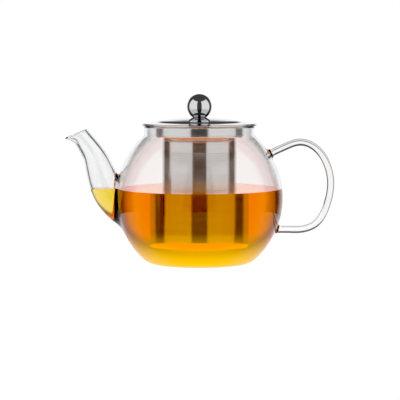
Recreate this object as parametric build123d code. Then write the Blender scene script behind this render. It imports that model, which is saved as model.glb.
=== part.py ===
"""Glass teapot with a lift-out steel infuser and a loose steel lid.

Millimetres, +Z up. The origin is on the table under the middle of the bowl.
The spout points along -X and the handle along +X; both lie in the XZ plane.
The bowl, spout and handle are borosilicate glass, hot-welded to each other.
The infuser hangs by its flange on the glass rim, and the lid stands on that
flange with its skirt inside the infuser's collar.
"""

from build123d import *
import math
import os

# Bowl: a ball of glass, flattened to stand, with a short straight neck.
BOWL_RADIUS = 65.0
BOTTOM_CUT = 14.0  # how much of the ball's height the flat bottom takes off
WALL = 2.2
BASE_THICKNESS = 3.2
BASE_ROUNDING = 14.0  # outside, from the standing ring up to the ball
KICK_RADIUS = 24.0  # the shallow hollow pressed into the underside
KICK_DEPTH = 0.8
NECK_RADIUS = 42.8  # outside
NECK_LENGTH = 7.5  # from where the neck leaves the ball up to the rim
SHOULDER_BLEND = 4.0
RIM_ROUNDING = 0.9

# Spout: stations of its centre line, as (out from the ball's widest point, up
# from its centre, outside radius), then the slanted mouth with its lip.
SPOUT_WALL = 1.8
SPOUT_STATIONS = [
    (-18.0, -14.0, 14.2),
    (-5.5, -6.2, 14.0),
    (4.2, 1.8, 12.7),
    (10.3, 13.5, 11.6),
    (14.0, 26.0, 10.2),
    (18.6, 36.6, 8.6),
    (24.6, 44.4, 7.5),
]
MOUTH_CENTRE = (31.2, 49.2)
MOUTH_HALF_LENGTH = 9.4  # from the middle to the lip
MOUTH_HALF_WIDTH = 7.6
MOUTH_SLOPE = 24.0  # degrees that the mouth falls towards the lip
BORE_OVERRUN = 6.0  # the bore's cutting shape runs past both ends by this

# Handle: a solid rod bent to a D. Its joints are at these heights from the
# ball's centre; between them it runs through points given as the spout's are.
HANDLE_RADIUS = 2.8
UPPER_JOINT = 34.7
LOWER_JOINT = -24.6
HANDLE_ROUTE = [
    (2.9, 40.6),
    (13.5, 43.6),
    (26.0, 38.6),
    (35.0, 24.6),
    (37.3, 11.6),
    (34.9, -3.6),
    (25.0, -20.6),
    (15.0, -24.4),
    (5.0, -24.6),
]
WELD_RADIUS = 5.0  # the pads where the rod is melted to the bowl
WELD_HEIGHT = 4.0
WELD_TOP_RADIUS = 2.24  # just under the rod's skin

# Infuser: a pressed collar, a rolled sleeve and a dished base.
COLLAR_GAP = 5.65  # between the collar and the inside of the neck
COLLAR_SHEET = 0.5
FLANGE_OVERHANG = 1.6  # past the outside of the neck
COLLAR_DEPTH = 11.2  # from the glass rim down to the step
COLLAR_ROUNDING = 4.3
FLANGE_ROUNDING = 1.6
THROAT_LENGTH = 4.0  # the part of the collar that is welded inside the sleeve
THROAT_ROUNDING = 1.0
COLLAR_STEP = 6.1  # how far the collar steps in to the sleeve
SLEEVE_SHEET = 0.4
BASE_CLEARANCE = 22.9  # from the table up to the sleeve's lower edge
BASE_UPSTAND = 3.5
BASE_DISH = 1.7
BASE_SLOPE_WIDTH = 10.95  # the sloping part of the base, inside the sleeve

# Lid: a pressed shell with a rolled edge, over a welded skirt.
LID_OVERHANG = 0.65  # past the infuser's flange
LID_SHEET = 0.6
LID_BEAD = 0.65  # radius of the rolled edge
BRIM_RISE = 0.8
STEP_OFFSET = 0.45  # where the brim turns into the step, outside the collar's bore
STEP_WIDTH = 3.2
STEP_RISE = 1.2
DOME_RISE = 2.5
VENT_RADIUS = 1.5
VENT_PLACE = (-0.68, 0.16)  # as shares of the dome's radius
SKIRT_SHEET = 0.5
SKIRT_DEPTH = 6.5  # below the flange
SKIRT_CLEARANCE = 0.35
SKIRT_FLANGE = 3.0
SEAT_GAP = 0.08  # between bodies that rest on each other

# Knob: a hollow ball in two pressings round a threaded insert.
KNOB_RADIUS = 9.85
KNOB_FLAT = 1.45  # how much of the ball's height its flat seat takes off
KNOB_SHEET = 0.9
KNOB_SEAM = 2.5  # the seam between the pressings, below the ball's centre
INSERT_RADIUS = 4.0
INSERT_HEIGHT = 8.0
INSERT_TOP = 1.5  # solid metal above the threaded hole
SCREW_RADIUS = 2.0
SCREW_HOLE_CLEARANCE = 0.15
SCREW_TIP_CLEARANCE = 0.1
THREAD_CLEARANCE = 0.02
SCREW_HEAD_RADIUS = 3.8
SCREW_HEAD_HEIGHT = 2.2
SCREW_HEAD_ROUNDING = 1.0
DRIVE_SLOT_WIDTH = 1.0
DRIVE_SLOT_REACH = 2.6  # from the screw's axis
DRIVE_SLOT_DEPTH = 1.1
WASHER_RADIUS = 6.0
WASHER_THICKNESS = 1.0

FAR = 400.0  # larger than the whole part, for cutting tools

# Sizes that follow from those above.
BOWL_CENTRE = BOWL_RADIUS - BOTTOM_CUT
NECK_FOOT = BOWL_CENTRE + math.sqrt(BOWL_RADIUS**2 - NECK_RADIUS**2)
RIM_HEIGHT = NECK_FOOT + NECK_LENGTH
COLLAR_RADIUS = NECK_RADIUS - WALL - COLLAR_GAP  # outside
COLLAR_INSIDE = COLLAR_RADIUS - COLLAR_SHEET
FLANGE_RADIUS = NECK_RADIUS + FLANGE_OVERHANG
FLANGE_TOP = RIM_HEIGHT + SEAT_GAP + COLLAR_SHEET
STEP_HEIGHT = RIM_HEIGHT - COLLAR_DEPTH
SLEEVE_RADIUS = COLLAR_RADIUS - COLLAR_STEP  # outside
SLEEVE_INSIDE = SLEEVE_RADIUS - SLEEVE_SHEET
BASE_FLAT_RADIUS = SLEEVE_INSIDE - BASE_SLOPE_WIDTH
LID_RADIUS = FLANGE_RADIUS + LID_OVERHANG
STEP_RADIUS = COLLAR_INSIDE + STEP_OFFSET
BEAD_HEIGHT = FLANGE_TOP + SEAT_GAP + LID_BEAD
BRIM_EDGE = BEAD_HEIGHT + LID_BEAD - LID_SHEET  # underside of the brim at the bead
BRIM_INNER = BRIM_EDGE + BRIM_RISE
DOME_FOOT = BRIM_INNER + STEP_RISE
DOME_TOP = DOME_FOOT + DOME_RISE  # underside of the dome at the axis
DOME_RADIUS = STEP_RADIUS - STEP_WIDTH
DOME_BALL = (DOME_RADIUS**2 + DOME_RISE**2) / (2 * DOME_RISE)  # its curve's radius
WASHER_TOP = DOME_TOP - DOME_BALL + math.sqrt(DOME_BALL**2 - WASHER_RADIUS**2)
SEAT_RADIUS = math.sqrt(KNOB_RADIUS**2 - (KNOB_RADIUS - KNOB_FLAT) ** 2)
SEAT_SAG = DOME_BALL - math.sqrt(DOME_BALL**2 - SEAT_RADIUS**2)
KNOB_SEAT = DOME_TOP + LID_SHEET - SEAT_SAG  # a flat on the dome, under the knob
KNOB_HEIGHT = KNOB_SEAT + KNOB_RADIUS - KNOB_FLAT
INSERT_FOOT = KNOB_SEAT + KNOB_SHEET
THREAD_TOP = INSERT_FOOT + INSERT_HEIGHT - INSERT_TOP


def turned(*edges):
    """A solid of revolution about Z from a closed outline in the XZ plane."""
    parts = [edge for piece in edges for edge in piece.edges()]
    return revolve(Plane.XZ * make_face(parts), Axis.Z, 360)


def upright_cylinder(radius, low, high, place=(0.0, 0.0)):
    return Pos(place[0], place[1], low) * Cylinder(
        radius, high - low, align=(Align.CENTER, Align.CENTER, Align.MIN)
    )


def width_at(up, radius=BOWL_RADIUS):
    """The ball's radius at a height above or below its centre."""
    return math.sqrt(radius**2 - up**2)


def ring_at(body, height):
    circles = body.edges().filter_by(GeomType.CIRCLE)
    return circles.filter_by(lambda edge: abs(edge.center().Z - height) < 1e-3)


def ball_with_neck(inset, floor, top):
    """The bowl's ball and neck, filled, with its surface inset."""
    radius = BOWL_RADIUS - inset
    neck = NECK_RADIUS - inset
    foot = floor - BOWL_CENTRE
    shoulder = width_at(neck, radius)
    foot_width = width_at(foot, radius)
    side = ThreePointArc((foot_width, foot), (radius, 0), (neck, shoulder))
    rest = Polyline(
        (neck, shoulder),
        (neck, top - BOWL_CENTRE),
        (0, top - BOWL_CENTRE),
        (0, foot),
        (foot_width, foot),
    )
    body = Pos(0, 0, BOWL_CENTRE) * turned(side, rest)
    body = fillet(ring_at(body, floor), BASE_ROUNDING - inset)
    return fillet(ring_at(body, BOWL_CENTRE + shoulder), SHOULDER_BLEND + inset)


def bowl_outside():
    return ball_with_neck(0.0, 0.0, RIM_HEIGHT)


def bowl_inside():
    return ball_with_neck(WALL, BASE_THICKNESS, RIM_HEIGHT + WALL)


def spout_point(out, up):
    return Vector(-(BOWL_RADIUS + out), 0, BOWL_CENTRE + up)


def spout_core(inset, overrun):
    """The spout as a solid, with its surface inset and both ends carried on."""
    centres = [spout_point(out, up) for out, up, _ in SPOUT_STATIONS]
    line = Spline(*centres)
    root = Plane(origin=line @ 0, x_dir=(0, 1, 0), z_dir=line % 0)
    sections = []
    if overrun:
        sections.append(root.offset(-overrun) * Circle(SPOUT_STATIONS[0][2] - inset))
    for centre, (_, _, radius) in zip(centres, SPOUT_STATIONS):
        where = line.param_at_point(centre)
        plane = Plane(origin=centre, x_dir=(0, 1, 0), z_dir=line % where)
        sections.append(plane * Circle(radius - inset))
    slope = math.radians(MOUTH_SLOPE)
    mouth = Plane(
        origin=spout_point(*MOUTH_CENTRE),
        x_dir=(-math.cos(slope), 0, -math.sin(slope)),
        z_dir=(-math.sin(slope), 0, math.cos(slope)),
    )
    opening = Ellipse(MOUTH_HALF_LENGTH - inset, MOUTH_HALF_WIDTH - inset)
    sections.append(mouth * opening)
    if overrun:
        sections.append(mouth.offset(overrun) * opening)
    return loft(sections)


def glass_bowl(outside, inside, bore):
    bowl = outside - inside - bore
    kick = Cone(
        KICK_RADIUS, 0.0, KICK_DEPTH, align=(Align.CENTER, Align.CENTER, Align.MIN)
    )
    bowl -= kick
    rim = bowl.edges().filter_by(GeomType.CIRCLE).group_by(Axis.Z)[-1]
    return bowl.fillet(RIM_ROUNDING, rim)


def spout(outside, bore):
    return spout_core(0.0, 0.0) - outside - bore


def handle_point(out, up):
    return Vector(BOWL_RADIUS + out, 0, BOWL_CENTRE + up)


def weld_pad(joint):
    """A flared pad, square to the bowl's surface at a joint."""
    plane = Plane(origin=joint, z_dir=joint - Vector(0, 0, BOWL_CENTRE))
    return plane.offset(-WALL / 2) * Cone(
        WELD_RADIUS,
        WELD_TOP_RADIUS,
        WELD_HEIGHT + WALL / 2,
        align=(Align.CENTER, Align.CENTER, Align.MIN),
    )


def handle(outside):
    joints = [
        handle_point(width_at(up) - BOWL_RADIUS, up) for up in (UPPER_JOINT, LOWER_JOINT)
    ]
    between = [handle_point(out, up) for out, up in HANDLE_ROUTE]
    first, last = joints
    inner_first = first + (first - between[0]).normalized() * HANDLE_RADIUS
    inner_last = last + (last - between[-1]).normalized() * HANDLE_RADIUS
    route = Spline(inner_first, first, *between, last, inner_last)
    start = Plane(origin=route @ 0, z_dir=route % 0)
    rod = sweep(start * Circle(HANDLE_RADIUS), path=route)
    return rod + weld_pad(first) + weld_pad(last) - outside


def infuser_collar():
    """One pressing: flange, straight wall, rounded step and throat."""
    sheet = COLLAR_SHEET
    under = RIM_HEIGHT + SEAT_GAP
    throat = SLEEVE_INSIDE  # outside of the throat fits the sleeve
    turn = FLANGE_ROUNDING
    corner = COLLAR_ROUNDING
    throat_turn = THROAT_ROUNDING
    step = STEP_HEIGHT
    low = step - THROAT_LENGTH
    lower = Polyline(
        (FLANGE_RADIUS, under + sheet),
        (FLANGE_RADIUS, under),
        (COLLAR_RADIUS + turn, under),
    )
    outside_turn = JernArc(lower @ 1, (-1, 0), turn, 90)
    wall = Line(outside_turn @ 1, (COLLAR_RADIUS, step + corner))
    outside_corner = JernArc(wall @ 1, (0, -1), corner, -90)
    floor = Line(outside_corner @ 1, (throat + throat_turn, step))
    outside_throat = JernArc(floor @ 1, (-1, 0), throat_turn, 90)
    end = Polyline(
        outside_throat @ 1, (throat, low), (throat - sheet, low),
        (throat - sheet, step - throat_turn),
    )
    inside_throat = JernArc(end @ 1, (0, 1), throat_turn + sheet, -90)
    inside_floor = Line(inside_throat @ 1, (COLLAR_RADIUS - corner, step + sheet))
    inside_corner = JernArc(inside_floor @ 1, (1, 0), corner - sheet, 90)
    inside_wall = Line(inside_corner @ 1, (COLLAR_INSIDE, under - turn))
    inside_turn = JernArc(inside_wall @ 1, (0, 1), turn + sheet, -90)
    upper = Line(inside_turn @ 1, lower @ 0)
    return turned(
        lower, outside_turn, wall, outside_corner, floor, outside_throat, end,
        inside_throat, inside_floor, inside_corner, inside_wall, inside_turn, upper,
    )


def infuser_sleeve():
    top = STEP_HEIGHT - THROAT_ROUNDING
    outer = upright_cylinder(SLEEVE_RADIUS, BASE_CLEARANCE, top)
    return outer - upright_cylinder(SLEEVE_INSIDE, 0, FAR)


def infuser_base():
    """A dished disc with an upstand that is crimped inside the sleeve."""
    sheet = SLEEVE_SHEET
    radius = SLEEVE_INSIDE
    rim = BASE_CLEARANCE
    floor = rim - BASE_DISH
    outline = Polyline(
        (0, floor),
        (BASE_FLAT_RADIUS, floor),
        (radius, rim),
        (radius, rim + BASE_UPSTAND),
        (radius - sheet, rim + BASE_UPSTAND),
        (radius - sheet, rim + sheet),
        (BASE_FLAT_RADIUS, floor + sheet),
        (0, floor + sheet),
        close=True,
    )
    return turned(outline)


def lid_shell():
    """The pressed shell: rolled bead, brim, step and dome, with its holes."""
    sheet = LID_SHEET
    bead_centre = LID_RADIUS - LID_BEAD
    lower = Polyline(
        (bead_centre, BRIM_EDGE),
        (STEP_RADIUS, BRIM_INNER),
        (DOME_RADIUS, DOME_FOOT),
    )
    half_angle = math.asin(DOME_RADIUS / DOME_BALL) / 2
    fall = DOME_BALL * (1 - math.cos(half_angle))
    middle = (DOME_BALL * math.sin(half_angle), DOME_TOP - fall)
    under_dome = ThreePointArc(lower @ 1, middle, (0, DOME_TOP))
    axis = Line(under_dome @ 1, (0, DOME_TOP + sheet))
    over_middle = (middle[0], middle[1] + sheet)
    over_dome = ThreePointArc(axis @ 1, over_middle, (DOME_RADIUS, DOME_FOOT + sheet))
    upper = Polyline(
        over_dome @ 1,
        (STEP_RADIUS, BRIM_INNER + sheet),
        (bead_centre, BRIM_EDGE + sheet),
    )
    end = Line(upper @ 1, lower @ 0)
    shell = turned(lower, under_dome, axis, over_dome, upper, end)
    shell += Pos(0, 0, BEAD_HEIGHT) * Torus(bead_centre, LID_BEAD)
    shell -= upright_cylinder(SCREW_RADIUS + SCREW_HOLE_CLEARANCE, DOME_FOOT, FAR)
    vent = (VENT_PLACE[0] * DOME_RADIUS, VENT_PLACE[1] * DOME_RADIUS)
    shell -= upright_cylinder(VENT_RADIUS, BRIM_EDGE, FAR, vent)
    return shell - upright_cylinder(SEAT_RADIUS, KNOB_SEAT, FAR)


def lid_skirt():
    """The ring that centres the lid in the collar, welded under the brim."""
    outside = COLLAR_INSIDE - SKIRT_CLEARANCE
    low = FLANGE_TOP - SKIRT_DEPTH
    slope = BRIM_RISE / (LID_RADIUS - LID_BEAD - STEP_RADIUS)
    edge = outside + SKIRT_FLANGE

    def under_brim(radius):
        return BRIM_INNER - slope * (max(radius, STEP_RADIUS) - STEP_RADIUS)

    inside = outside - SKIRT_SHEET
    rise = STEP_RISE / STEP_WIDTH
    inside_top = BRIM_INNER + rise * (STEP_RADIUS - inside)
    outline = Polyline(
        (outside, low),
        (outside, under_brim(edge) - SKIRT_SHEET),
        (edge, under_brim(edge) - SKIRT_SHEET),
        (edge, under_brim(edge)),
        (STEP_RADIUS, BRIM_INNER),
        (inside, inside_top),
        (inside, low),
        close=True,
    )
    return turned(outline)


def knob_shell():
    """The whole hollow ball, flat where it sits on the dome."""
    centre = Pos(0, 0, KNOB_HEIGHT)
    ball = centre * Sphere(KNOB_RADIUS) - centre * Sphere(KNOB_RADIUS - KNOB_SHEET)
    seat_plate = centre * Sphere(KNOB_RADIUS) & upright_cylinder(
        FAR, KNOB_SEAT, KNOB_SEAT + KNOB_SHEET
    )
    ball = ball & upright_cylinder(FAR, KNOB_SEAT, FAR)
    return ball + seat_plate


def knob_cap():
    return knob_shell() & upright_cylinder(FAR, KNOB_HEIGHT - KNOB_SEAM, FAR)


def knob_cup():
    cup = knob_shell() & upright_cylinder(FAR, 0, KNOB_HEIGHT - KNOB_SEAM)
    return cup - upright_cylinder(SCREW_RADIUS + SCREW_HOLE_CLEARANCE, 0, FAR)


def knob_insert():
    """The threaded boss welded to the cup's floor."""
    boss = upright_cylinder(INSERT_RADIUS, INSERT_FOOT, INSERT_FOOT + INSERT_HEIGHT)
    return boss - upright_cylinder(SCREW_RADIUS, 0, THREAD_TOP)


def lid_washer():
    washer = upright_cylinder(WASHER_RADIUS, WASHER_TOP - WASHER_THICKNESS, WASHER_TOP)
    return washer - upright_cylinder(SCREW_RADIUS + SCREW_HOLE_CLEARANCE, 0, FAR)


def lid_screw():
    under_head = WASHER_TOP - WASHER_THICKNESS
    shank = upright_cylinder(
        SCREW_RADIUS - THREAD_CLEARANCE, under_head, THREAD_TOP - SCREW_TIP_CLEARANCE
    )
    low = under_head - SCREW_HEAD_HEIGHT
    head = upright_cylinder(SCREW_HEAD_RADIUS, low, under_head)
    head = fillet(ring_at(head, low), SCREW_HEAD_ROUNDING)
    cross = Box(2 * DRIVE_SLOT_REACH, DRIVE_SLOT_WIDTH, 2 * DRIVE_SLOT_DEPTH)
    screw = head + shank
    for turn in (0, 90):
        screw -= Pos(0, 0, low) * Rot(0, 0, turn) * cross
    return screw


def build():
    outside = bowl_outside()
    bore = spout_core(SPOUT_WALL, BORE_OVERRUN)
    return {
        "glass_bowl": glass_bowl(outside, bowl_inside(), bore),
        "spout": spout(outside, bore),
        "handle": handle(outside),
        "infuser_collar": infuser_collar(),
        "infuser_sleeve": infuser_sleeve(),
        "infuser_base": infuser_base(),
        "lid_shell": lid_shell(),
        "lid_skirt": lid_skirt(),
        "knob_cap": knob_cap(),
        "knob_cup": knob_cup(),
        "knob_insert": knob_insert(),
        "lid_washer": lid_washer(),
        "lid_screw": lid_screw(),
    }


os.makedirs("parts", exist_ok=True)
for node, shape in build().items():
    export_step(shape, f"parts/{node}.step")
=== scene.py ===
import math

import bmesh
import bpy
import mathutils
import numpy as np
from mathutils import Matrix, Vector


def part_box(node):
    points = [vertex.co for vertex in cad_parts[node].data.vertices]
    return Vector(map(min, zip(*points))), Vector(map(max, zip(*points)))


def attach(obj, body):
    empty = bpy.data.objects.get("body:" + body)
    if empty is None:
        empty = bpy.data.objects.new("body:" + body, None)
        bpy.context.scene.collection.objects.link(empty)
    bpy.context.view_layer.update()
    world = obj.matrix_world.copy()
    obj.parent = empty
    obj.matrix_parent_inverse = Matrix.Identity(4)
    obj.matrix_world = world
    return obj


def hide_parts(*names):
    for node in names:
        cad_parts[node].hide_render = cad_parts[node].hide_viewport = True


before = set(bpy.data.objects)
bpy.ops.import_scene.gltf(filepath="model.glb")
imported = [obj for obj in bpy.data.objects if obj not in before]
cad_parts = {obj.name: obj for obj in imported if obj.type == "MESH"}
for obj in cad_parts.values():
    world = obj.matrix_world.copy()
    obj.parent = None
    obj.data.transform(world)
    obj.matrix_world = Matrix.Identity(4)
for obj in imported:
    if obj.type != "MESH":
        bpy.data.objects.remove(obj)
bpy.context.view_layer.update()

# ---------------------------------------------------------------------------
# Teapot glass. Bowl and spout are blown and the handle is a drawn rod, all of
# borosilicate. Spout and handle are melted on in a flame, so the three are one
# piece, with a smooth weld round each joint and fire-rounded edges.
# ---------------------------------------------------------------------------

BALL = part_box("glass_bowl")[1][1]  # outside radius
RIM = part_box("glass_bowl")[1][2]  # height of the rim
BOTTOM_CUT = 0.014
CENTRE = BALL - BOTTOM_CUT  # height of the ball's centre
WALL = 0.0022
NECK = 0.0428  # outside radius
BASE_THICKNESS = 0.0032
BASE_ROUNDING = 0.014
SHOULDER_BLEND = 0.004
KICK_RADIUS = 0.024
KICK_DEPTH = 0.0008
SPOUT_WALL = 0.0018
TEA_LEVEL = 0.0586
ROUND_STEPS = 256  # facets round a full turn
SHARP = 35  # edges that turn by more than this many degrees stay crisp
HOLE_MARGIN = 0.03  # radians of wall relaid with triangles round a hole
HOLE_CLEAR = 1.06  # no point of the wall lies nearer a hole than this share


def arc(middle, radius, start, end, steps):
    """Points of an arc in the (out, up) plane; angles in degrees."""
    angles = np.radians(np.linspace(start, end, steps + 1))
    return np.column_stack(
        (middle[0] + radius * np.cos(angles), middle[1] + radius * np.sin(angles))
    )


def straight(start, end, steps):
    return np.linspace(start, end, steps + 1)


def outline(*stretches):
    """Joins stretches into one outline and drops points that repeat."""
    points = np.vstack(stretches)
    keep = [0]
    for index in range(1, len(points)):
        if np.hypot(*(points[index] - points[keep[-1]])) > 1e-6:
            keep.append(index)
    return points[keep]


def ball_side(inset, floor):
    """Ball, shoulder and neck from the flat floor's edge up to the rim's foot."""
    ball = BALL - inset
    low_round = BASE_ROUNDING - inset
    low_middle = (
        math.sqrt((ball - low_round) ** 2 - (CENTRE - floor - low_round) ** 2),
        floor + low_round,
    )
    leave_floor = math.degrees(math.atan2(low_middle[1] - CENTRE, low_middle[0]))
    blend = SHOULDER_BLEND + inset
    top_middle = (
        NECK + SHOULDER_BLEND,
        CENTRE + math.sqrt((BALL + SHOULDER_BLEND) ** 2 - (NECK + SHOULDER_BLEND) ** 2),
    )
    leave_ball = math.degrees(math.atan2(top_middle[1] - CENTRE, top_middle[0]))
    rim_foot = RIM - WALL / 2
    return outline(
        arc(low_middle, low_round, -90, leave_floor, 14),
        arc((0, CENTRE), ball, leave_floor, leave_ball, 76),
        arc(top_middle, blend, leave_ball + 180, 180, 10),
        straight((NECK - inset, top_middle[1]), (NECK - inset, rim_foot), 4),
    )


def ring_polar(ring):
    """Turn angle and height angle of points on the ball, for cutting holes."""
    turn = np.unwrap(np.arctan2(ring[:, 1], ring[:, 0]))
    rise = np.arctan2(ring[:, 2] - CENTRE, np.hypot(ring[:, 0], ring[:, 1]))
    return np.column_stack((turn, rise))


def inside(points, ring):
    """Which points lie inside a closed ring, by crossings."""
    result = np.zeros(len(points), bool)
    ends = np.roll(ring, -1, axis=0)
    for (ax, ay), (bx, by) in zip(ring, ends):
        spans = (ay > points[:, 1]) != (by > points[:, 1])
        if spans.any():
            crossing = ax + (points[:, 1] - ay) * (bx - ax) / (by - ay + 1e-30)
            result ^= spans & (points[:, 0] < crossing)
    return result


class Mesh:
    """Vertices and faces gathered patch by patch, welded where they meet."""

    def __init__(self):
        self.points = []
        self.faces = []
        self.finishes = []
        self.finish = 0  # which of the piece's materials the next patches take

    def add(self, points, faces):
        start = len(self.points)
        self.points.extend(map(tuple, points))
        self.faces.extend(tuple(start + corner for corner in face) for face in faces)
        self.finishes.extend([self.finish] * (len(self.faces) - len(self.finishes)))

    def grid(self, rings, closed=True):
        """Skins a row of rings that all have the same count of points."""
        rings = np.asarray(rings)
        rows, columns = rings.shape[:2]
        last = columns if closed else columns - 1
        faces = []
        for row in range(rows - 1):
            for column in range(last):
                ahead = (column + 1) % columns
                low, high = row * columns, (row + 1) * columns
                faces.append((low + column, low + ahead, high + ahead, high + column))
        self.add(rings.reshape(-1, 3), faces)

    def turned(self, profile, holes=(), closed=False):
        """Turns an (out, up) profile about Z, leaving out round holes in the ball."""
        angles = 2 * math.pi * (np.arange(ROUND_STEPS) + 0.5) / ROUND_STEPS
        profile = np.asarray(profile)
        if closed:
            profile = np.vstack((profile, profile[:1]))
        rings = np.stack(
            (
                profile[:, :1] * np.cos(angles),
                profile[:, :1] * np.sin(angles),
                np.repeat(profile[:, 1:], ROUND_STEPS, axis=1),
            ),
            axis=2,
        )
        if not len(holes):
            self.grid(rings)
            return
        rise = np.arctan2(profile[:, 1] - CENTRE, profile[:, 0])
        cut = np.zeros((len(profile) - 1, ROUND_STEPS), bool)
        for hole in holes:
            polar = ring_polar(hole)
            middle = polar.mean(axis=0)
            turns = (angles - middle[0] + math.pi) % (2 * math.pi) - math.pi + middle[0]
            order = np.argsort(turns)
            least, most = polar.min(axis=0) - HOLE_MARGIN, polar.max(axis=0) + HOLE_MARGIN
            columns = [c for c in order if least[0] < turns[c] < most[0]]
            rows = [r for r in range(len(profile)) if least[1] < rise[r] < most[1]]
            for row in rows[:-1]:
                for column in columns[:-1]:
                    cut[row, column] = True
            flat, solid = [], []
            for row in rows:
                for column in columns:
                    flat.append((turns[column], rise[row]))
                    solid.append(rings[row, column])
            flat, solid = np.array(flat), np.array(solid)
            edge_row = np.isin(flat[:, 1], (rise[rows[0]], rise[rows[-1]]))
            edge_column = np.isin(flat[:, 0], (turns[columns[0]], turns[columns[-1]]))
            grown = middle + (polar - middle) * HOLE_CLEAR
            keep = edge_row | edge_column | ~inside(flat, grown)
            flat = np.vstack((polar, flat[keep]))
            solid = np.vstack((hole, solid[keep]))
            count = len(hole)
            edges = [(k, (k + 1) % count) for k in range(count)]
            made = mathutils.geometry.delaunay_2d_cdt(
                [mathutils.Vector(p) for p in flat], edges, [], 0, 1e-9
            )
            corners = np.array([list(f) for f in made[2]])
            origin = [ids[0] for ids in made[3]]
            centres = np.array([tuple(v) for v in made[0]])[corners].mean(axis=1)
            corners = corners[~inside(centres, polar)]
            self.add(solid[origin], corners.tolist())
        faces = []
        for row in range(len(profile) - 1):
            for column in range(ROUND_STEPS):
                if cut[row, column]:
                    continue
                ahead = (column + 1) % ROUND_STEPS
                low, high = row * ROUND_STEPS, (row + 1) * ROUND_STEPS
                faces.append((low + column, low + ahead, high + ahead, high + column))
        self.add(rings.reshape(-1, 3), faces)

    def disc(self, radius, height, middle_height, rings=8):
        """Closes a turned face's middle with a shallow, rounded dish."""
        shares = np.linspace(1, 0.04, rings)
        profile = [
            (radius * s, middle_height + (height - middle_height) * s**2) for s in shares
        ]
        self.turned(profile)
        angles = 2 * math.pi * (np.arange(ROUND_STEPS) + 0.5) / ROUND_STEPS
        edge = [
            (profile[-1][0] * math.cos(a), profile[-1][0] * math.sin(a), profile[-1][1])
            for a in angles
        ]
        fan = [(k, (k + 1) % ROUND_STEPS, ROUND_STEPS) for k in range(ROUND_STEPS)]
        self.add([*edge, (0, 0, middle_height)], fan)

    def piece(self, name, body, *materials, weld=2e-6):
        """Makes the Blender object, with its faces turned outwards, on a CAD body."""
        data = bpy.data.meshes.new(name)
        data.from_pydata(self.points, [], self.faces)
        data.polygons.foreach_set("material_index", self.finishes)
        work = bmesh.new()
        work.from_mesh(data)
        bmesh.ops.remove_doubles(work, verts=work.verts, dist=weld)
        loose = [v for v in work.verts if not v.link_faces]
        bmesh.ops.delete(work, geom=loose, context="VERTS")
        bmesh.ops.recalc_face_normals(work, faces=work.faces)
        work.to_mesh(data)
        work.free()
        data.shade_smooth()
        data.set_sharp_from_angle(angle=math.radians(SHARP))
        thing = bpy.data.objects.new(name, data)
        bpy.context.scene.collection.objects.link(thing)
        for finish in materials:
            data.materials.append(finish)
        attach(thing, body)
        return thing


def slopes_through(stations, steps):
    """Slopes of the line that bends evenly through every station, free at its ends."""
    count = len(stations)
    flat = np.asarray(stations).reshape(count, -1)
    chords = np.diff(flat, axis=0) / steps[:, None]
    bending = np.zeros((count, count))
    pull = np.zeros_like(flat)
    bending[0, :2], pull[0] = (2, 1), 3 * chords[0]
    bending[-1, -2:], pull[-1] = (1, 2), 3 * chords[-1]
    for k in range(1, count - 1):
        before, after = steps[k - 1], steps[k]
        bending[k, k - 1 : k + 2] = after, 2 * (before + after), before
        pull[k] = 3 * (after * chords[k - 1] + before * chords[k])
    return np.linalg.solve(bending, pull).reshape(np.shape(stations))


class Branch:
    """A tube or rod given by stations: its centre and its two half-widths."""

    def __init__(self, centres, across, aside):
        self.stations = np.stack((centres, across, aside), axis=1)
        steps = np.linalg.norm(np.diff(centres, axis=0), axis=1)
        self.places = np.concatenate(((0,), np.cumsum(steps)))
        self.slopes = slopes_through(self.stations, steps)

    def at(self, place):
        """Centre and half-widths at a distance along, on a smooth cubic."""
        k = int(np.clip(np.searchsorted(self.places, place) - 1, 0, len(self.places) - 2))
        length = self.places[k + 1] - self.places[k]
        s = (place - self.places[k]) / length
        return (
            (2 * s**3 - 3 * s**2 + 1) * self.stations[k]
            + (s**3 - 2 * s**2 + s) * length * self.slopes[k]
            + (3 * s**2 - 2 * s**3) * self.stations[k + 1]
            + (s**3 - s**2) * length * self.slopes[k + 1]
        )

    def point(self, place, angle, inset=0.0):
        centre, across, aside = self.at(place)
        across = across * (1 - inset / np.linalg.norm(across))
        aside = aside * (1 - inset / np.linalg.norm(aside))
        return centre + across * math.cos(angle) + aside * math.sin(angle)

    def meets_ball(self, angle, inset, ball, low, high):
        """Where the line along the skin at an angle leaves the ball."""
        for _ in range(40):
            middle = (low + high) / 2
            gap = np.linalg.norm(self.point(middle, angle, inset) - (0, 0, CENTRE)) - ball
            low, high = (middle, high) if gap < 0 else (low, middle)
        return (low + high) / 2

    def weld(self, angles, inset, ball, low, high, size, steps=6):
        """Rings of a smooth weld from the ball on to the skin, and where they end."""
        forward = 1 if high > low else -1
        crossings = [self.meets_ball(a, inset, ball, low, high) for a in angles]
        corners = np.array([self.point(c, a, inset) for c, a in zip(crossings, angles)])
        middle = corners.mean(axis=0)
        ends = [c + forward * size for c in crossings]
        on_skin = np.array([self.point(e, a, inset) for e, a in zip(ends, angles)])
        heart = np.array((0, 0, CENTRE))
        outward = corners - heart
        away = corners - middle
        normal = outward / np.linalg.norm(outward, axis=1)[:, None]
        away -= normal * np.sum(away * normal, axis=1)[:, None]
        away /= np.linalg.norm(away, axis=1)[:, None]
        on_ball = corners + away * size - heart
        on_ball = heart + on_ball * (ball / np.linalg.norm(on_ball, axis=1))[:, None]
        rings = [
            (1 - s) ** 2 * on_ball + 2 * s * (1 - s) * corners + s**2 * on_skin
            for s in np.linspace(0, 1, steps + 1)
        ]
        return rings, np.array(ends)


def along(points):
    """Unit directions of a line through points in the XZ plane."""
    run = slopes_through(points, np.linalg.norm(np.diff(points, axis=0), axis=1))
    return run / np.linalg.norm(run, axis=1)[:, None]


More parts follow.
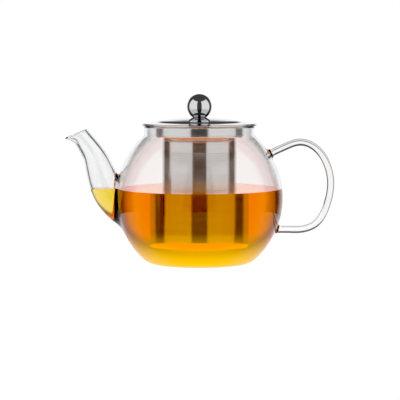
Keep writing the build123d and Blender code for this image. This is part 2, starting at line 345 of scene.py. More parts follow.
# Stations of the spout and points of the handle's rod, from the ball's widest
# point: out, up, and for the spout its outside radius.
SPOUT_STATIONS = np.array(
    [
        (-0.0180, -0.0140, 0.0142),
        (-0.0040, -0.0050, 0.0141),
        (0.0046, 0.0036, 0.0129),
        (0.0108, 0.0166, 0.0115),
        (0.0144, 0.0272, 0.0101),
        (0.0176, 0.0344, 0.0087),
        (0.0234, 0.0432, 0.0075),
    ]
)
MOUTH_CENTRE = (0.0307, 0.0496)
MOUTH_HALF_LENGTH = 0.0092
MOUTH_HALF_WIDTH = 0.0076
MOUTH_SLOPE = math.radians(22)
LIP_CENTRE = (0.0280, 0.0484)  # where the lip starts to curl out
LIP_HALF_LENGTH = 0.0078
LIP_SLOPE = math.radians(27)
SPOUT_WELD = 0.0055  # the weld's hollow outside
SPOUT_THROAT = 0.0068  # its rounding inside

spout_places = np.vstack((SPOUT_STATIONS[:, :2], LIP_CENTRE, MOUTH_CENTRE))
spout_line = np.column_stack(
    (-BALL - spout_places[:, 0], np.zeros(len(spout_places)), CENTRE + spout_places[:, 1])
)
spout_run = along(spout_line)
spout_across = np.column_stack((-spout_run[:, 2], spout_run[:, 1], spout_run[:, 0]))
spout_across[:-2] *= SPOUT_STATIONS[:, 2:]
for station, slope, half in ((-2, LIP_SLOPE, LIP_HALF_LENGTH), (-1, MOUTH_SLOPE, MOUTH_HALF_LENGTH)):
    spout_across[station] = -half * np.array((math.cos(slope), 0, math.sin(slope)))
spout_aside = np.zeros_like(spout_line)
spout_aside[:-2, 1] = SPOUT_STATIONS[:, 2]
spout_aside[-2:, 1] = MOUTH_HALF_WIDTH
spout = Branch(spout_line, spout_across, spout_aside)
SPOUT_ANGLES = np.linspace(0, 2 * math.pi, 96, endpoint=False)


def spout_skin(inset, ball, weld, rows=60):
    """The hole's ring in the ball, and the spout's rings from there to the mouth."""
    welded, ends = spout.weld(SPOUT_ANGLES, inset, ball, 0.0, spout.places[4], weld)
    rings = list(welded)
    for share in np.linspace(0, 1, rows + 1)[1:]:
        places = ends + (spout.places[-1] - ends) * share
        rings.append(
            np.array([spout.point(p, a, inset) for p, a in zip(places, SPOUT_ANGLES)])
        )
    return rings


HANDLE_RADIUS = 0.0028
UPPER_JOINT = 0.0347
LOWER_JOINT = -0.0246
HANDLE_ROUTE = [
    (0.0029, 0.0406),
    (0.0135, 0.0436),
    (0.0260, 0.0386),
    (0.0350, 0.0246),
    (0.0373, 0.0116),
    (0.0349, -0.0036),
    (0.0250, -0.0206),
    (0.0150, -0.0244),
    (0.0050, -0.0246),
]
HANDLE_WELD = 0.0030

joints = [(math.sqrt(BALL**2 - up**2) - BALL, up) for up in (UPPER_JOINT, LOWER_JOINT)]
handle_places = np.array([joints[0], *HANDLE_ROUTE, joints[1]])
handle_line = np.column_stack(
    (BALL + handle_places[:, 0], np.zeros(len(handle_places)), CENTRE + handle_places[:, 1])
)
first_run = handle_line[0] - handle_line[1]
last_run = handle_line[-1] - handle_line[-2]
handle_line = np.vstack(
    (
        handle_line[0] + first_run / np.linalg.norm(first_run) * 2 * HANDLE_RADIUS,
        handle_line,
        handle_line[-1] + last_run / np.linalg.norm(last_run) * 2 * HANDLE_RADIUS,
    )
)
handle_run = along(handle_line)
handle_across = np.column_stack((-handle_run[:, 2], handle_run[:, 1], handle_run[:, 0]))
handle_aside = np.zeros_like(handle_line)
handle_aside[:, 1] = 1
rod = Branch(handle_line, handle_across * HANDLE_RADIUS, handle_aside * HANDLE_RADIUS)
ROD_ANGLES = np.linspace(0, 2 * math.pi, 40, endpoint=False)
rod_middle = rod.places[-1] / 2
top_weld, top_ends = rod.weld(ROD_ANGLES, 0.0, BALL, 0.0, rod_middle, HANDLE_WELD)
low_weld, low_ends = rod.weld(ROD_ANGLES, 0.0, BALL, rod.places[-1], rod_middle, HANDLE_WELD)
rod_rings = list(top_weld)
for share in np.linspace(0, 1, 141)[1:-1]:
    places = top_ends + (low_ends - top_ends) * share
    rod_rings.append(np.array([rod.point(p, a) for p, a in zip(places, ROD_ANGLES)]))
rod_rings.extend(reversed(low_weld))


class Flow:
    """A socket in a node tree. Sums on it add Math nodes to the same tree."""

    def __init__(self, tree, socket=None):
        self.tree = tree
        self.socket = socket

    def node(self, kind, settings=None, sockets=None, out=0):
        """Adds a node: its settings first, then its sockets' values and links."""
        made = self.tree.nodes.new("ShaderNode" + kind)
        for name, value in (settings or {}).items():
            if name == "stops":
                ramp = made.color_ramp
                for index, (place, colour) in enumerate(value):
                    stop = ramp.elements[index] if index < 2 else ramp.elements.new(place)
                    stop.position = place
                    stop.color = colour
            else:
                setattr(made, name, value)
        for name, value in (sockets or {}).items():
            if isinstance(value, Flow):
                self.tree.links.new(value.socket, made.inputs[name])
            else:
                made.inputs[name].default_value = value
        return Flow(self.tree, made.outputs[out]) if len(made.outputs) else None

    def sum(self, operation, *values):
        sockets = dict(enumerate(values))
        return self.node("Math", {"operation": operation}, sockets)

    def parts(self):
        """The three numbers in a vector socket."""
        split = self.node("SeparateXYZ", {}, {"Vector": self})
        return [Flow(self.tree, output) for output in split.socket.node.outputs]

    def fade(self, value, start, end):
        """0 at start, 1 at end, smooth between."""
        return self.node(
            "MapRange",
            {"interpolation_type": "SMOOTHSTEP"},
            {"Value": value, "From Min": start, "From Max": end, "To Min": 0.0, "To Max": 1.0},
        )

    def __add__(self, other):
        return self.sum("ADD", self, other)

    __radd__ = __add__

    def __rsub__(self, other):
        return self.sum("SUBTRACT", other, self)

    def __mul__(self, other):
        return self.sum("MULTIPLY", self, other)

    __rmul__ = __mul__


def material(name, finish):
    """A new material whose nodes are laid by the finish function."""
    made = bpy.data.materials.new(name)
    made.use_nodes = True
    made.node_tree.nodes.clear()
    flow = Flow(made.node_tree)
    finish(flow)
    return made


def surface(flow, sockets):
    """The Principled shader and the output."""
    shader = flow.node("BsdfPrincipled", {}, sockets)
    flow.node("OutputMaterial", {}, {"Surface": shader})


def blown_glass(index, edge_start, edge_end, painted_edge_shade):
    """Glass against air or tea, with faint waves, and painted shade that greys it where it is seen
    edge-on.
    """

    def finish(flow):
        place = flow.node("TexCoord", out="Object")
        waves = flow.node("TexNoise", {}, {"Vector": place, "Scale": 42.0, "Detail": 1.0})
        haze = flow.node("TexNoise", {}, {"Vector": place, "Scale": 160.0, "Detail": 4.0})
        normal = flow.node(
            "Bump", {}, {"Strength": 0.06, "Distance": 0.0006, "Height": waves}
        )
        # painted shade: the base colour turns grey as the surface is seen edge-on, to darken the
        # glass's edges
        facing = flow.node("LayerWeight", {}, {"Blend": 0.5}, "Facing")
        tint_and_edge_shade = flow.node(
            "Mix",
            {"data_type": "RGBA"},
            {
                "Factor": flow.fade(facing, edge_start, edge_end),
                "A": (0.945, 0.95, 0.95, 1),
                "B": (painted_edge_shade, painted_edge_shade, painted_edge_shade, 1),
            },
            "Result",
        )
        surface(
            flow,
            {
                "Base Color": tint_and_edge_shade,
                "Roughness": 0.012 * haze,
                "IOR": index,
                "Transmission Weight": 1.0,
                "Normal": normal,
            },
        )

    return finish


glass = Mesh()
outer_side = ball_side(0.0, 0.0)
inner_side = ball_side(WALL, BASE_THICKNESS)
spout_outside = spout_skin(0.0, BALL, SPOUT_WELD)
spout_inside = spout_skin(SPOUT_WALL, BALL - WALL, SPOUT_THROAT)
glass.turned(outer_side, [spout_outside[0], rod_rings[0], rod_rings[-1]])
glass.turned(arc((NECK - WALL / 2, RIM - WALL / 2), WALL / 2, 0, 180, 10))
glass.turned(straight((KICK_RADIUS, 0), outer_side[0], 4))
glass.disc(KICK_RADIUS, 0.0, KICK_DEPTH)
glass.grid(spout_outside)
glass.grid(rod_rings[: len(top_weld)])
glass.grid(rod_rings[-len(low_weld) :])
# the rod's middle takes the copy of the glass with the darkest painted edge shade
glass.finish = 2
glass.grid(rod_rings[len(top_weld) - 1 : 1 - len(low_weld)])
glass.finish = 0
lip_out, lip_in = spout_outside[-1], spout_inside[-1]
lip_axis = np.array((-math.sin(MOUTH_SLOPE), 0, math.cos(MOUTH_SLOPE)))
lip_middle, lip_half = (lip_out + lip_in) / 2, (lip_out - lip_in) / 2
glass.grid(
    [
        lip_middle + lip_half * math.cos(a) + lip_axis * SPOUT_WALL / 2 * math.sin(a)
        for a in np.linspace(0, math.pi, 9)
    ]
)
glass.finish = 1
glass.turned(inner_side, [spout_inside[0]])
glass.disc(inner_side[0][0], BASE_THICKNESS, BASE_THICKNESS + KICK_DEPTH, 16)
glass.grid(spout_inside)
# Each copy has its own painted edge shade; the rod's copy is greyed most, and from face-on outwards.
dry = material("clear_glass", blown_glass(1.47, 0.45, 0.85, 0.7))
wet = material("clear_glass_wet", blown_glass(1.47 / 1.333, 0.45, 0.85, 0.8))
drawn = material("clear_glass_rod_painted_shade", blown_glass(1.47, 0.0, 0.55, 0.4))
pot = glass.piece("teapot_glass", "pot", dry, wet, drawn)
shore = bmesh.new()
shore.from_mesh(pot.data)
inner = [f for f in shore.faces if f.material_index == 1]
edges = {e for f in inner for e in f.edges}
corners = {v for f in inner for v in f.verts}
bmesh.ops.bisect_plane(
    shore,
    geom=[*corners, *edges, *inner],
    plane_co=(0, 0, TEA_LEVEL),
    plane_no=(0, 0, 1),
    dist=1e-6,
)
for face in shore.faces:
    if face.material_index == 1 and face.calc_center_median().z > TEA_LEVEL:
        face.material_index = 0
shore.to_mesh(pot.data)
shore.free()
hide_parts("glass_bowl", "spout", "handle")

# ---------------------------------------------------------------------------
# Tea. It is the pot's contents, not a piece of it. It fills the bowl and the
# spout to one level and wets the glass, so its skin lies just inside the wall.
# ---------------------------------------------------------------------------

TEA_SKIN = 0.00003  # its side lies this far inside the wall
PAINTED_GLOW_TOP = 0.031  # painted glow: an emission near the bottom stands in for table light coming up through the base, up to here
PAINTED_GLOW = 0.8  # how much of the painted glow covers what is seen at the very bottom
TEA_TOP_SLACK = 0.00001  # faces above the level less this are its open top


def tea_finish(flow):
    """Black tea: it takes out blue and some green. Only its top meets air. Near the bottom its side
    takes a painted glow.
    """
    place = flow.node("TexCoord", out="Object")
    height = place.parts()[2]
    open_top = flow.sum("GREATER_THAN", height, TEA_LEVEL - TEA_TOP_SLACK)
    ripple = flow.node("TexNoise", {}, {"Vector": place, "Scale": 30.0, "Detail": 1.0})
    normal = flow.node("Bump", {}, {"Strength": 0.02, "Distance": 0.0005, "Height": ripple})
    top = flow.node(
        "BsdfPrincipled",
        {},
        {
            "Base Color": (1, 1, 1, 1),
            "Roughness": 0.0,
            "IOR": 1.333,
            "Transmission Weight": 1.0,
            "Normal": normal,
        },
    )
    side = flow.node("BsdfTransparent")
    # painted light: an orange emission on the tea's side, fading out upwards from the bottom, stands
    # in for table light shining up through the base
    painted_glow_emission = flow.node("Emission", {}, {"Color": (1.0, 0.58, 0.0, 1), "Strength": 1.4})
    low = flow.fade(height, PAINTED_GLOW_TOP, 0.0)
    side_with_painted_glow = flow.node("MixShader", {}, {0: low * PAINTED_GLOW, 1: side, 2: painted_glow_emission})
    skin = flow.node("MixShader", {}, {0: open_top, 1: side_with_painted_glow, 2: top})
    depth = flow.node("VolumeAbsorption", {}, {"Color": (0.997, 0.862, 0.0, 1), "Density": 95.0})
    flow.node("OutputMaterial", {}, {"Surface": skin, "Volume": depth})


tea_skin = Mesh()
tea_inset = WALL + TEA_SKIN
tea_side = ball_side(tea_inset, BASE_THICKNESS + TEA_SKIN)
tea_spout = spout_skin(SPOUT_WALL + TEA_SKIN, BALL - tea_inset, SPOUT_THROAT)
tea_skin.turned(tea_side, [tea_spout[0]])
tea_skin.disc(
    tea_side[0][0], BASE_THICKNESS + TEA_SKIN, BASE_THICKNESS + KICK_DEPTH + TEA_SKIN, 16
)
tea_skin.grid(tea_spout)
tea = tea_skin.piece("tea", "pot", material("tea", tea_finish))
pool = bmesh.new()
pool.from_mesh(tea.data)
cut = bmesh.ops.bisect_plane(
    pool,
    geom=[*pool.verts, *pool.edges, *pool.faces],
    plane_co=(0, 0, TEA_LEVEL),
    plane_no=(0, 0, 1),
    clear_outer=True,
)
shore = [e for e in cut["geom_cut"] if isinstance(e, bmesh.types.BMEdge)]
top = bmesh.ops.triangle_fill(pool, edges=shore, use_beauty=True)["geom"]
for face in top:
    if isinstance(face, bmesh.types.BMFace):
        face.smooth = False
bmesh.ops.recalc_face_normals(pool, faces=pool.faces)
pool.to_mesh(tea.data)
pool.free()

# ---------------------------------------------------------------------------
# Infuser collar. One deep-drawn steel pressing, 0.5 mm thick: a flange that
# hangs on the glass rim, a straight brushed wall, a rounded step and a throat
# that is spot-welded inside the sleeve.
# ---------------------------------------------------------------------------

COLLAR_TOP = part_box("infuser_collar")[1][2]
COLLAR_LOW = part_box("infuser_collar")[0][2]
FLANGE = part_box("infuser_collar")[1][0]
COLLAR = 0.03495  # outside radius of the wall
COLLAR_SHEET = 0.0005
COLLAR_STEP = COLLAR_LOW + 0.004
COLLAR_ROUNDING = 0.0043
FLANGE_ROUNDING = 0.0016
THROAT_ROUNDING = 0.001
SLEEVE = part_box("infuser_sleeve")[1][0]
SLEEVE_SHEET = 0.0004


def streaks(flow, stretch, fine):
    """Noise drawn out round the axis, as brushing or turning leaves it."""
    x, y, z = flow.node("TexCoord", out="Object").parts()
    out = flow.sum("SQRT", x * x + y * y)
    spread = flow.node(
        "CombineXYZ", {}, {"X": x * stretch, "Y": y * stretch, "Z": (z + out) * fine}
    )
    return flow.node("TexNoise", {}, {"Vector": spread, "Scale": 1.0, "Detail": 3.0})


def brushed_steel(flow):
    """Stainless sheet brushed round its axis, with a little tone in its grain."""
    grain = streaks(flow, 25.0, 2600.0)
    bands = streaks(flow, 12.0, 350.0)
    tone = flow.node(
        "Mix",
        {"data_type": "RGBA"},
        {"Factor": bands, "A": (0.69, 0.69, 0.70, 1), "B": (0.80, 0.795, 0.79, 1)},
        "Result",
    )
    normal = flow.node("Bump", {}, {"Strength": 0.35, "Distance": 0.00004, "Height": grain})
    surface(
        flow,
        {
            "Base Color": tone,
            "Metallic": 1.0,
            "Roughness": 0.15 + 0.08 * bands,
            "Anisotropic": 0.9,
            "Anisotropic Rotation": 0.25,
            "Normal": normal,
        },
    )


throat = SLEEVE - SLEEVE_SHEET
under = COLLAR_TOP - COLLAR_SHEET
collar_outside = outline(
    straight((FLANGE, under), (COLLAR + FLANGE_ROUNDING, under), 6),
    arc((COLLAR + FLANGE_ROUNDING, under - FLANGE_ROUNDING), FLANGE_ROUNDING, 90, 180, 8),
    straight(
        (COLLAR, under - FLANGE_ROUNDING), (COLLAR, COLLAR_STEP + COLLAR_ROUNDING), 4
    ),
    arc(
        (COLLAR - COLLAR_ROUNDING, COLLAR_STEP + COLLAR_ROUNDING), COLLAR_ROUNDING, 0, -90, 14
    ),
    arc(
        (throat + THROAT_ROUNDING, COLLAR_STEP - THROAT_ROUNDING), THROAT_ROUNDING, 90, 180, 6
    ),
    straight((throat, COLLAR_STEP - THROAT_ROUNDING), (throat, COLLAR_LOW), 3),
)
collar_inside = outline(
    straight(
        (throat - COLLAR_SHEET, COLLAR_LOW),
        (throat - COLLAR_SHEET, COLLAR_STEP - THROAT_ROUNDING),
        3,
    ),
    arc(
        (throat + THROAT_ROUNDING, COLLAR_STEP - THROAT_ROUNDING),
        THROAT_ROUNDING + COLLAR_SHEET, 180, 90, 6,
    ),
    arc(
        (COLLAR - COLLAR_ROUNDING, COLLAR_STEP + COLLAR_ROUNDING),
        COLLAR_ROUNDING - COLLAR_SHEET, -90, 0, 14,
    ),
    arc(
        (COLLAR + FLANGE_ROUNDING, under - FLANGE_ROUNDING),
        FLANGE_ROUNDING + COLLAR_SHEET, 180, 90, 8,
    ),
    straight((COLLAR + FLANGE_ROUNDING, COLLAR_TOP), (FLANGE, COLLAR_TOP), 6),
    arc((FLANGE, (COLLAR_TOP + under) / 2), COLLAR_SHEET / 2, 90, -90, 6)
    - np.array((COLLAR_SHEET / 2, 0)),
)
brushed = material("brushed_steel", brushed_steel)
collar_mesh = Mesh()
collar_mesh.turned(outline(collar_outside, collar_inside), closed=True)
collar = collar_mesh.piece("infuser_collar_pressing", "infuser", brushed)
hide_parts("infuser_collar")

# ---------------------------------------------------------------------------
# Infuser sleeve. Stainless sheet, 0.4 mm, punched with a square grid of fine
# round holes between two plain bands, then rolled and seam-welded.
# ---------------------------------------------------------------------------

SLEEVE_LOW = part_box("infuser_sleeve")[0][2]
SLEEVE_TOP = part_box("infuser_sleeve")[1][2]
HOLE_PITCH = 0.00135
HOLE_RADIUS = 0.00031
TOP_BAND = 0.0062
LOW_BAND = 0.0055
HOLE_CORNERS = 6
HOLE_ANGLES = 2 * math.pi * (np.arange(HOLE_CORNERS) + 0.5) / HOLE_CORNERS


def perforated_sleeve(outside, inside_radius, low, high):
    """Punched cells round the sleeve, in rows, with the holes' walls."""
    columns = round(2 * math.pi * outside / HOLE_PITCH)
    rows = int((high - low - TOP_BAND - LOW_BAND) / HOLE_PITCH)
    start = low + LOW_BAND
    turn = 2 * math.pi / columns
    end = start + rows * HOLE_PITCH
    lattice_u, lattice_v = np.meshgrid(
        np.arange(columns) * turn, start + np.arange(rows + 1) * HOLE_PITCH
    )
    centre_u, centre_v = np.meshgrid(
        (np.arange(columns) + 0.5) * turn, start + (np.arange(rows) + 0.5) * HOLE_PITCH
    )
    rim_u = centre_u[..., None] + HOLE_RADIUS / outside * np.cos(HOLE_ANGLES)
    rim_v = centre_v[..., None] + HOLE_RADIUS * np.sin(HOLE_ANGLES)
    flat_u = np.concatenate((lattice_u.ravel(), rim_u.ravel()))
    flat_v = np.concatenate((lattice_v.ravel(), rim_v.ravel()))
    skins = [
        np.column_stack((radius * np.cos(flat_u), radius * np.sin(flat_u), flat_v))
        for radius in (outside, inside_radius)
    ]
    lattice = (rows + 1) * columns
    faces = []
    for row in range(rows):
        for column in range(columns):
            ahead = (column + 1) % columns
            a = row * columns + column
            b = row * columns + ahead
            c = (row + 1) * columns + ahead
            d = (row + 1) * columns + column
            rim = lattice + (row * columns + column) * HOLE_CORNERS
            # corner k of the hole lies at 30, 90, 150, 210, 270 and 330 degrees
            faces += [
                (rim, c, rim + 1), (rim + 1, c, d), (rim + 1, d, rim + 2),
                (rim + 2, d, a), (rim + 2, a, rim + 3), (rim + 3, a, rim + 4),
                (rim + 4, a, b), (rim + 4, b, rim + 5), (rim + 5, b, c), (rim + 5, c, rim),
            ]
    count = len(skins[0])
    back = [tuple(count + k for k in reversed(face)) for face in faces]
    walls = []
    for cell in range(rows * columns):
        rim = lattice + cell * HOLE_CORNERS
        for k in range(HOLE_CORNERS):
            ahead = rim + (k + 1) % HOLE_CORNERS
            walls.append((rim + k, ahead, count + ahead, count + rim + k))
    mesh = Mesh()
    mesh.add(np.vstack(skins), faces + back + walls)
    angles = np.arange(columns) * turn

    def ring(radius, height):
        return np.column_stack(
            (radius * np.cos(angles), radius * np.sin(angles), np.full(columns, height))
        )

    edge = (outside - inside_radius) / 3  # the sheet's edges are rounded by this much
    for plain, brink, inward in ((end, high, -edge), (start, low, edge)):
        mesh.grid(
            [
                ring(outside, plain),
                ring(outside, brink + inward),
                ring(outside - edge, brink),
                ring(inside_radius + edge, brink),
                ring(inside_radius, brink + inward),
                ring(inside_radius, plain),
            ]
        )
    return mesh


sleeve_mesh = perforated_sleeve(SLEEVE, SLEEVE - SLEEVE_SHEET, SLEEVE_LOW, SLEEVE_TOP)
sleeve = sleeve_mesh.piece("infuser_sleeve_perforated", "infuser", brushed, weld=1e-7)
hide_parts("infuser_sleeve")

# ---------------------------------------------------------------------------
# Infuser base. A disc of the same punched sheet, dished downwards, with a plain
# upstand that is crimped and spot-welded inside the sleeve's lower band.
# ---------------------------------------------------------------------------

BASE_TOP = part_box("infuser_base")[1][2]
BASE_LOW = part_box("infuser_base")[0][2]
BASE_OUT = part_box("infuser_base")[1][0]
BASE_UPSTAND = 0.0035
BASE_SLOPE = 0.01095  # width of the sloping edge
BASE_FLAT = BASE_OUT - BASE_SLOPE
PUNCHED_MARGIN = 0.0012  # plain sheet between the outermost holes and the bend

steps_out = int(BASE_FLAT / HOLE_PITCH)
hole_row = np.arange(-steps_out, steps_out + 1) * HOLE_PITCH
centre_x, centre_y = (grid.ravel() for grid in np.meshgrid(hole_row, hole_row))
within = np.hypot(centre_x, centre_y) < BASE_FLAT - PUNCHED_MARGIN
centre_x, centre_y = centre_x[within], centre_y[within]
rim_x = centre_x[:, None] + HOLE_RADIUS * np.cos(HOLE_ANGLES)
rim_y = centre_y[:, None] + HOLE_RADIUS * np.sin(HOLE_ANGLES)
rims = np.stack((rim_x, rim_y), axis=2).reshape(-1, 2)
bend = 2 * math.pi * (np.arange(ROUND_STEPS) + 0.5) / ROUND_STEPS
bend_line = BASE_FLAT * np.column_stack((np.cos(bend), np.sin(bend)))
flat_points = np.vstack((rims, bend_line))
rim_edges = [
    (hole * HOLE_CORNERS + k, hole * HOLE_CORNERS + (k + 1) % HOLE_CORNERS)
    for hole in range(len(centre_x))
    for k in range(HOLE_CORNERS)
]
laid = mathutils.geometry.delaunay_2d_cdt(
    [mathutils.Vector(p) for p in flat_points], rim_edges, [], 0, 1e-9
)
laid_from = np.array([ids[0] for ids in laid[3]])
triangles = laid_from[np.array([list(face) for face in laid[2]])]
in_one_hole = (triangles < len(rims)).all(axis=1) & (
    np.ptp(triangles // HOLE_CORNERS, axis=1) == 0
)
triangles = triangles[~in_one_hole]
count = len(flat_points)
both_skins = [
    np.column_stack((flat_points, np.full(count, height)))
    for height in (BASE_LOW, BASE_LOW + SLEEVE_SHEET)
]
hole_walls = [(a, b, count + b, count + a) for a, b in rim_edges]
base_mesh = Mesh()
base_mesh.add(
    np.vstack(both_skins), [*triangles.tolist(), *(triangles + count).tolist(), *hole_walls]
)
base_mesh.turned(
    outline(
        straight((BASE_FLAT, BASE_LOW), (BASE_OUT, BASE_TOP - BASE_UPSTAND), 4),
        straight((BASE_OUT, BASE_TOP - BASE_UPSTAND), (BASE_OUT, BASE_TOP), 3),
        straight(
            (BASE_OUT - SLEEVE_SHEET, BASE_TOP),
            (BASE_OUT - SLEEVE_SHEET, BASE_TOP - BASE_UPSTAND + SLEEVE_SHEET),
            3,
        ),
        straight(
            (BASE_OUT - SLEEVE_SHEET, BASE_TOP - BASE_UPSTAND + SLEEVE_SHEET),
            (BASE_FLAT, BASE_LOW + SLEEVE_SHEET),
            4,
        ),
    )
)
base = base_mesh.piece("infuser_base_perforated", "infuser", brushed)
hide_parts("infuser_base")

# ---------------------------------------------------------------------------
# Lid. The shell is one pressed and polished steel sheet with a rolled edge, a
# sloping brim, a step and a shallow dome. Its skirt is welded under the brim.
# ---------------------------------------------------------------------------

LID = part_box("lid_shell")[1][0]
LID_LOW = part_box("lid_shell")[0][2]
LID_SHEET = 0.0006
LID_BEAD = 0.00065
BRIM_RISE = 0.0008
STEP_OUT = 0.0349
DOME_OUT = 0.0317
STEP_RISE = 0.0012
DOME_RISE = 0.0025
SCREW_HOLE = 0.00215
VENT_RADIUS = 0.0015
VENT_PLACE = (-0.0216, 0.0051)


def polished_steel(flow):
    """Mirror-polished stainless, with hairline turning marks and soft smears."""
    grain = streaks(flow, 40.0, 1500.0)
    place = flow.node("TexCoord", out="Object")
    smear = flow.node("TexNoise", {}, {"Vector": place, "Scale": 90.0, "Detail": 5.0})
    normal = flow.node("Bump", {}, {"Strength": 0.05, "Distance": 0.00002, "Height": grain})
    surface(
        flow,
        {
            "Base Color": (0.70, 0.70, 0.705, 1),
            "Metallic": 1.0,
            "Roughness": 0.025 + 0.05 * smear,
            "Normal": normal,
        },
    )


bead_out = LID - LID_BEAD
bead_up = LID_LOW + LID_BEAD
brim_edge = bead_up + LID_BEAD - LID_SHEET
brim_inner = brim_edge + BRIM_RISE
dome_foot = brim_inner + STEP_RISE
dome_ball = (DOME_OUT**2 + DOME_RISE**2) / (2 * DOME_RISE)
dome_top = dome_foot + DOME_RISE
dome_half = math.degrees(math.asin(DOME_OUT / dome_ball))
hole_half = math.degrees(math.asin(SCREW_HOLE / dome_ball))
dome_under = arc((0, dome_top - dome_ball), dome_ball, 90 - dome_half, 90 - hole_half, 24)


def eased(points, spacing=0.00035, rounds=18):
    """Softens the corners of a pressed sheet's line, as the press's rounded tool does."""
    lengths = np.concatenate(
        ((0,), np.cumsum(np.linalg.norm(np.diff(points, axis=0), axis=1)))
    )
    places = np.arange(0, lengths[-1], spacing)
    line = np.column_stack([np.interp(places, lengths, points[:, k]) for k in (0, 1)])
    for _ in range(rounds):
        line[1:-1] = (line[:-2] + 2 * line[1:-1] + line[2:]) / 4
    return line


under_line = eased(
    outline(
        straight((bead_out, brim_edge), (STEP_OUT, brim_inner), 12),
        straight((STEP_OUT, brim_inner), (DOME_OUT, dome_foot), 4),
        dome_under,
    )
)
over_line = under_line + np.array((0, LID_SHEET))
bead = arc((bead_out, bead_up), LID_BEAD, 90, -200, 20)
lid_mesh = Mesh()
inside_bead = 8  # the lower line's first points, which the bead swallows
lid_mesh.turned(outline(over_line[::-1], bead, under_line[inside_bead:]), closed=True)
polished = material("polished_steel", polished_steel)
lid = lid_mesh.piece("lid_shell_pressing", "lid", polished)
drill_data = bpy.data.meshes.new("vent_drill")
drill_mesh = bmesh.new()
bmesh.ops.create_cone(
    drill_mesh, cap_ends=True, segments=40, radius1=VENT_RADIUS, radius2=VENT_RADIUS,
    depth=0.02, matrix=mathutils.Matrix.Translation((*VENT_PLACE, dome_foot)),
)
drill_mesh.to_mesh(drill_data)
drill_mesh.free()
drill = bpy.data.objects.new("vent_drill", drill_data)
bpy.context.scene.collection.objects.link(drill)
vent = lid.modifiers.new("vent", "BOOLEAN")
vent.object = drill
drilled = bpy.data.meshes.new_from_object(
    lid.evaluated_get(bpy.context.evaluated_depsgraph_get())
)
lid.modifiers.clear()
lid.data = drilled
bpy.data.objects.remove(drill)
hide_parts("lid_shell")

# ---------------------------------------------------------------------------
# Knob. Two deep-drawn steel half shells, welded and polished to a ball that
# stands on the dome; the weld is left as a fine line below its middle.
# ---------------------------------------------------------------------------

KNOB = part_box("knob_cap")[1][0]
KNOB_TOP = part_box("knob_cap")[1][2]
KNOB_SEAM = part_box("knob_cap")[0][2]
KNOB_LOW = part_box("knob_cup")[0][2]
KNOB_SHEET = 0.0009
SEAM_WIDTH = 0.00012

knob_middle = KNOB_TOP - KNOB
seam_angle = math.degrees(math.asin((KNOB_SEAM - knob_middle) / KNOB))
seam_gap = math.degrees(SEAM_WIDTH / KNOB)
seat_out = math.sqrt(KNOB**2 - (knob_middle - KNOB_LOW) ** 2)
low_angle = math.degrees(math.asin((KNOB_LOW - knob_middle) / KNOB))
inner_knob = KNOB - KNOB_SHEET
cap_mesh = Mesh()
cap_mesh.turned(
    outline(
        arc((0, knob_middle), inner_knob, 89.5, seam_angle, 30),
        arc((0, knob_middle), KNOB - SEAM_WIDTH, seam_angle, seam_angle + seam_gap, 1),
        arc((0, knob_middle), KNOB, seam_angle + seam_gap, 89.5, 60),
    ),
    closed=True,
)
knob_cap = cap_mesh.piece("knob_cap_polished", "lid", polished)
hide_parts("knob_cap")
cup_mesh = Mesh()
cup_mesh.turned(
    outline(
        arc((0, knob_middle), KNOB, low_angle + 1.5, seam_angle - seam_gap, 40),
        arc((0, knob_middle), KNOB - SEAM_WIDTH, seam_angle - seam_gap, seam_angle, 1),
        arc((0, knob_middle), inner_knob, seam_angle, low_angle + 8, 30),
        straight(
            (seat_out - 0.0004, KNOB_LOW + KNOB_SHEET), (SCREW_HOLE, KNOB_LOW + KNOB_SHEET), 2
        ),
        straight((SCREW_HOLE, KNOB_LOW), (seat_out - 0.0002, KNOB_LOW), 3),
    ),
    closed=True,
)
knob_cup = cup_mesh.piece("knob_cup_polished", "lid", polished)
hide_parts("knob_cup")
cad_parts["lid_skirt"].data.materials.clear()
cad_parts["lid_skirt"].data.materials.append(brushed)
for name in ("lid_screw", "lid_washer", "knob_insert"):
    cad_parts[name].data.materials.clear()
    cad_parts[name].data.materials.append(polished)

# ---------------------------------------------------------------------------
# Studio. A small round white table, a bright backdrop and a large soft box at
# each side, with a dark ceiling above them and dark gaps between them.
# ---------------------------------------------------------------------------

TABLE_RADIUS = 0.24
CAMERA_AWAY = 1.5
CAMERA_UP = 0.172
AIM_UP = 0.0494
FRAME_WIDTH = 0.312
BLACK_LEVEL = 0.06


def white_table(flow):
    """Matt white laminate with a soft sheen, bright as an over-lit sweep."""
    place = flow.node("TexCoord", out="Object")
    fleck = flow.node("TexNoise", {}, {"Vector": place, "Scale": 300.0, "Detail": 2.0})
    surface(
        flow,
        {
            "Base Color": (0.04, 0.04, 0.04, 1),
            "Roughness": 0.14 + 0.04 * fleck,
            "Specular IOR Level": 0.3,
            "Emission Color": (1, 1, 1, 1),
            "Emission Strength": 0.975,
        },
    )


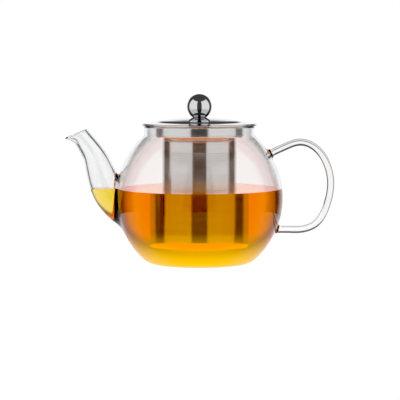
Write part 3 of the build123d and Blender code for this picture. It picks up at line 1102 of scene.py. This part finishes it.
around = 2 * math.pi * np.arange(ROUND_STEPS) / ROUND_STEPS
table_edge = np.column_stack((np.cos(around), np.sin(around), 0 * around)) * TABLE_RADIUS
table_data = bpy.data.meshes.new("table")
table_data.from_pydata(table_edge.tolist(), [], [tuple(range(ROUND_STEPS))])
table_data.materials.append(material("white_table", white_table))
table = bpy.data.objects.new("table", table_data)
bpy.context.scene.collection.objects.link(table)

world = bpy.data.worlds.new("studio")
bpy.context.scene.world = world
world.use_nodes = True
world.node_tree.nodes.clear()
sky = Flow(world.node_tree)
east, north, upward = sky.node("TexCoord", out="Generated").parts()
turn_angle = sky.sum("ABSOLUTE", sky.sum("ARCTAN2", east, north * -1.0)) * (180 / math.pi)
height_angle = sky.sum("ARCSINE", upward) * (180 / math.pi)


side_panel = (
    sky.fade(turn_angle, 17, 25)
    * (1 - sky.fade(turn_angle, 98, 112))
    * (1 - sky.fade(height_angle, 45, 55))
)
backdrop = (
    sky.fade(turn_angle, 127, 154)
    * (1 - sky.fade(height_angle, 10, 21))
    * (0.3 + 0.7 * sky.fade(height_angle, -18, -9))
)
gloom = 0.14
lit = sky.sum("MAXIMUM", sky.sum("MAXIMUM", side_panel, backdrop), gloom)
seen = sky.node("LightPath", out="Is Camera Ray")
strength = sky.sum("MAXIMUM", seen, lit) * 1.02
light = sky.node("Background", {}, {"Color": (1, 1, 1, 1), "Strength": strength})
sky.node("OutputWorld", {}, {"Surface": light})

camera_data = bpy.data.cameras.new("camera")
camera_data.sensor_width = 36
camera = bpy.data.objects.new("camera", camera_data)
bpy.context.scene.collection.objects.link(camera)
camera.location = (0, -CAMERA_AWAY, CAMERA_UP)
target = mathutils.Vector((0, 0, AIM_UP))
sight = target - camera.location
camera.rotation_euler = sight.to_track_quat("-Z", "Y").to_euler()
camera_data.lens = 36 * sight.length / FRAME_WIDTH
camera_data.clip_end = 20
camera_data.shift_x = 0.0015
bpy.context.scene.camera = camera

look = bpy.context.scene.view_settings
look.view_transform = "Standard"
look.use_curve_mapping = True
look.curve_mapping.black_level = (BLACK_LEVEL, BLACK_LEVEL, BLACK_LEVEL)
look.curve_mapping.update()
bpy.context.scene.cycles.max_bounces = 32
bpy.context.scene.cycles.transmission_bounces = 32
bpy.context.scene.cycles.glossy_bounces = 8
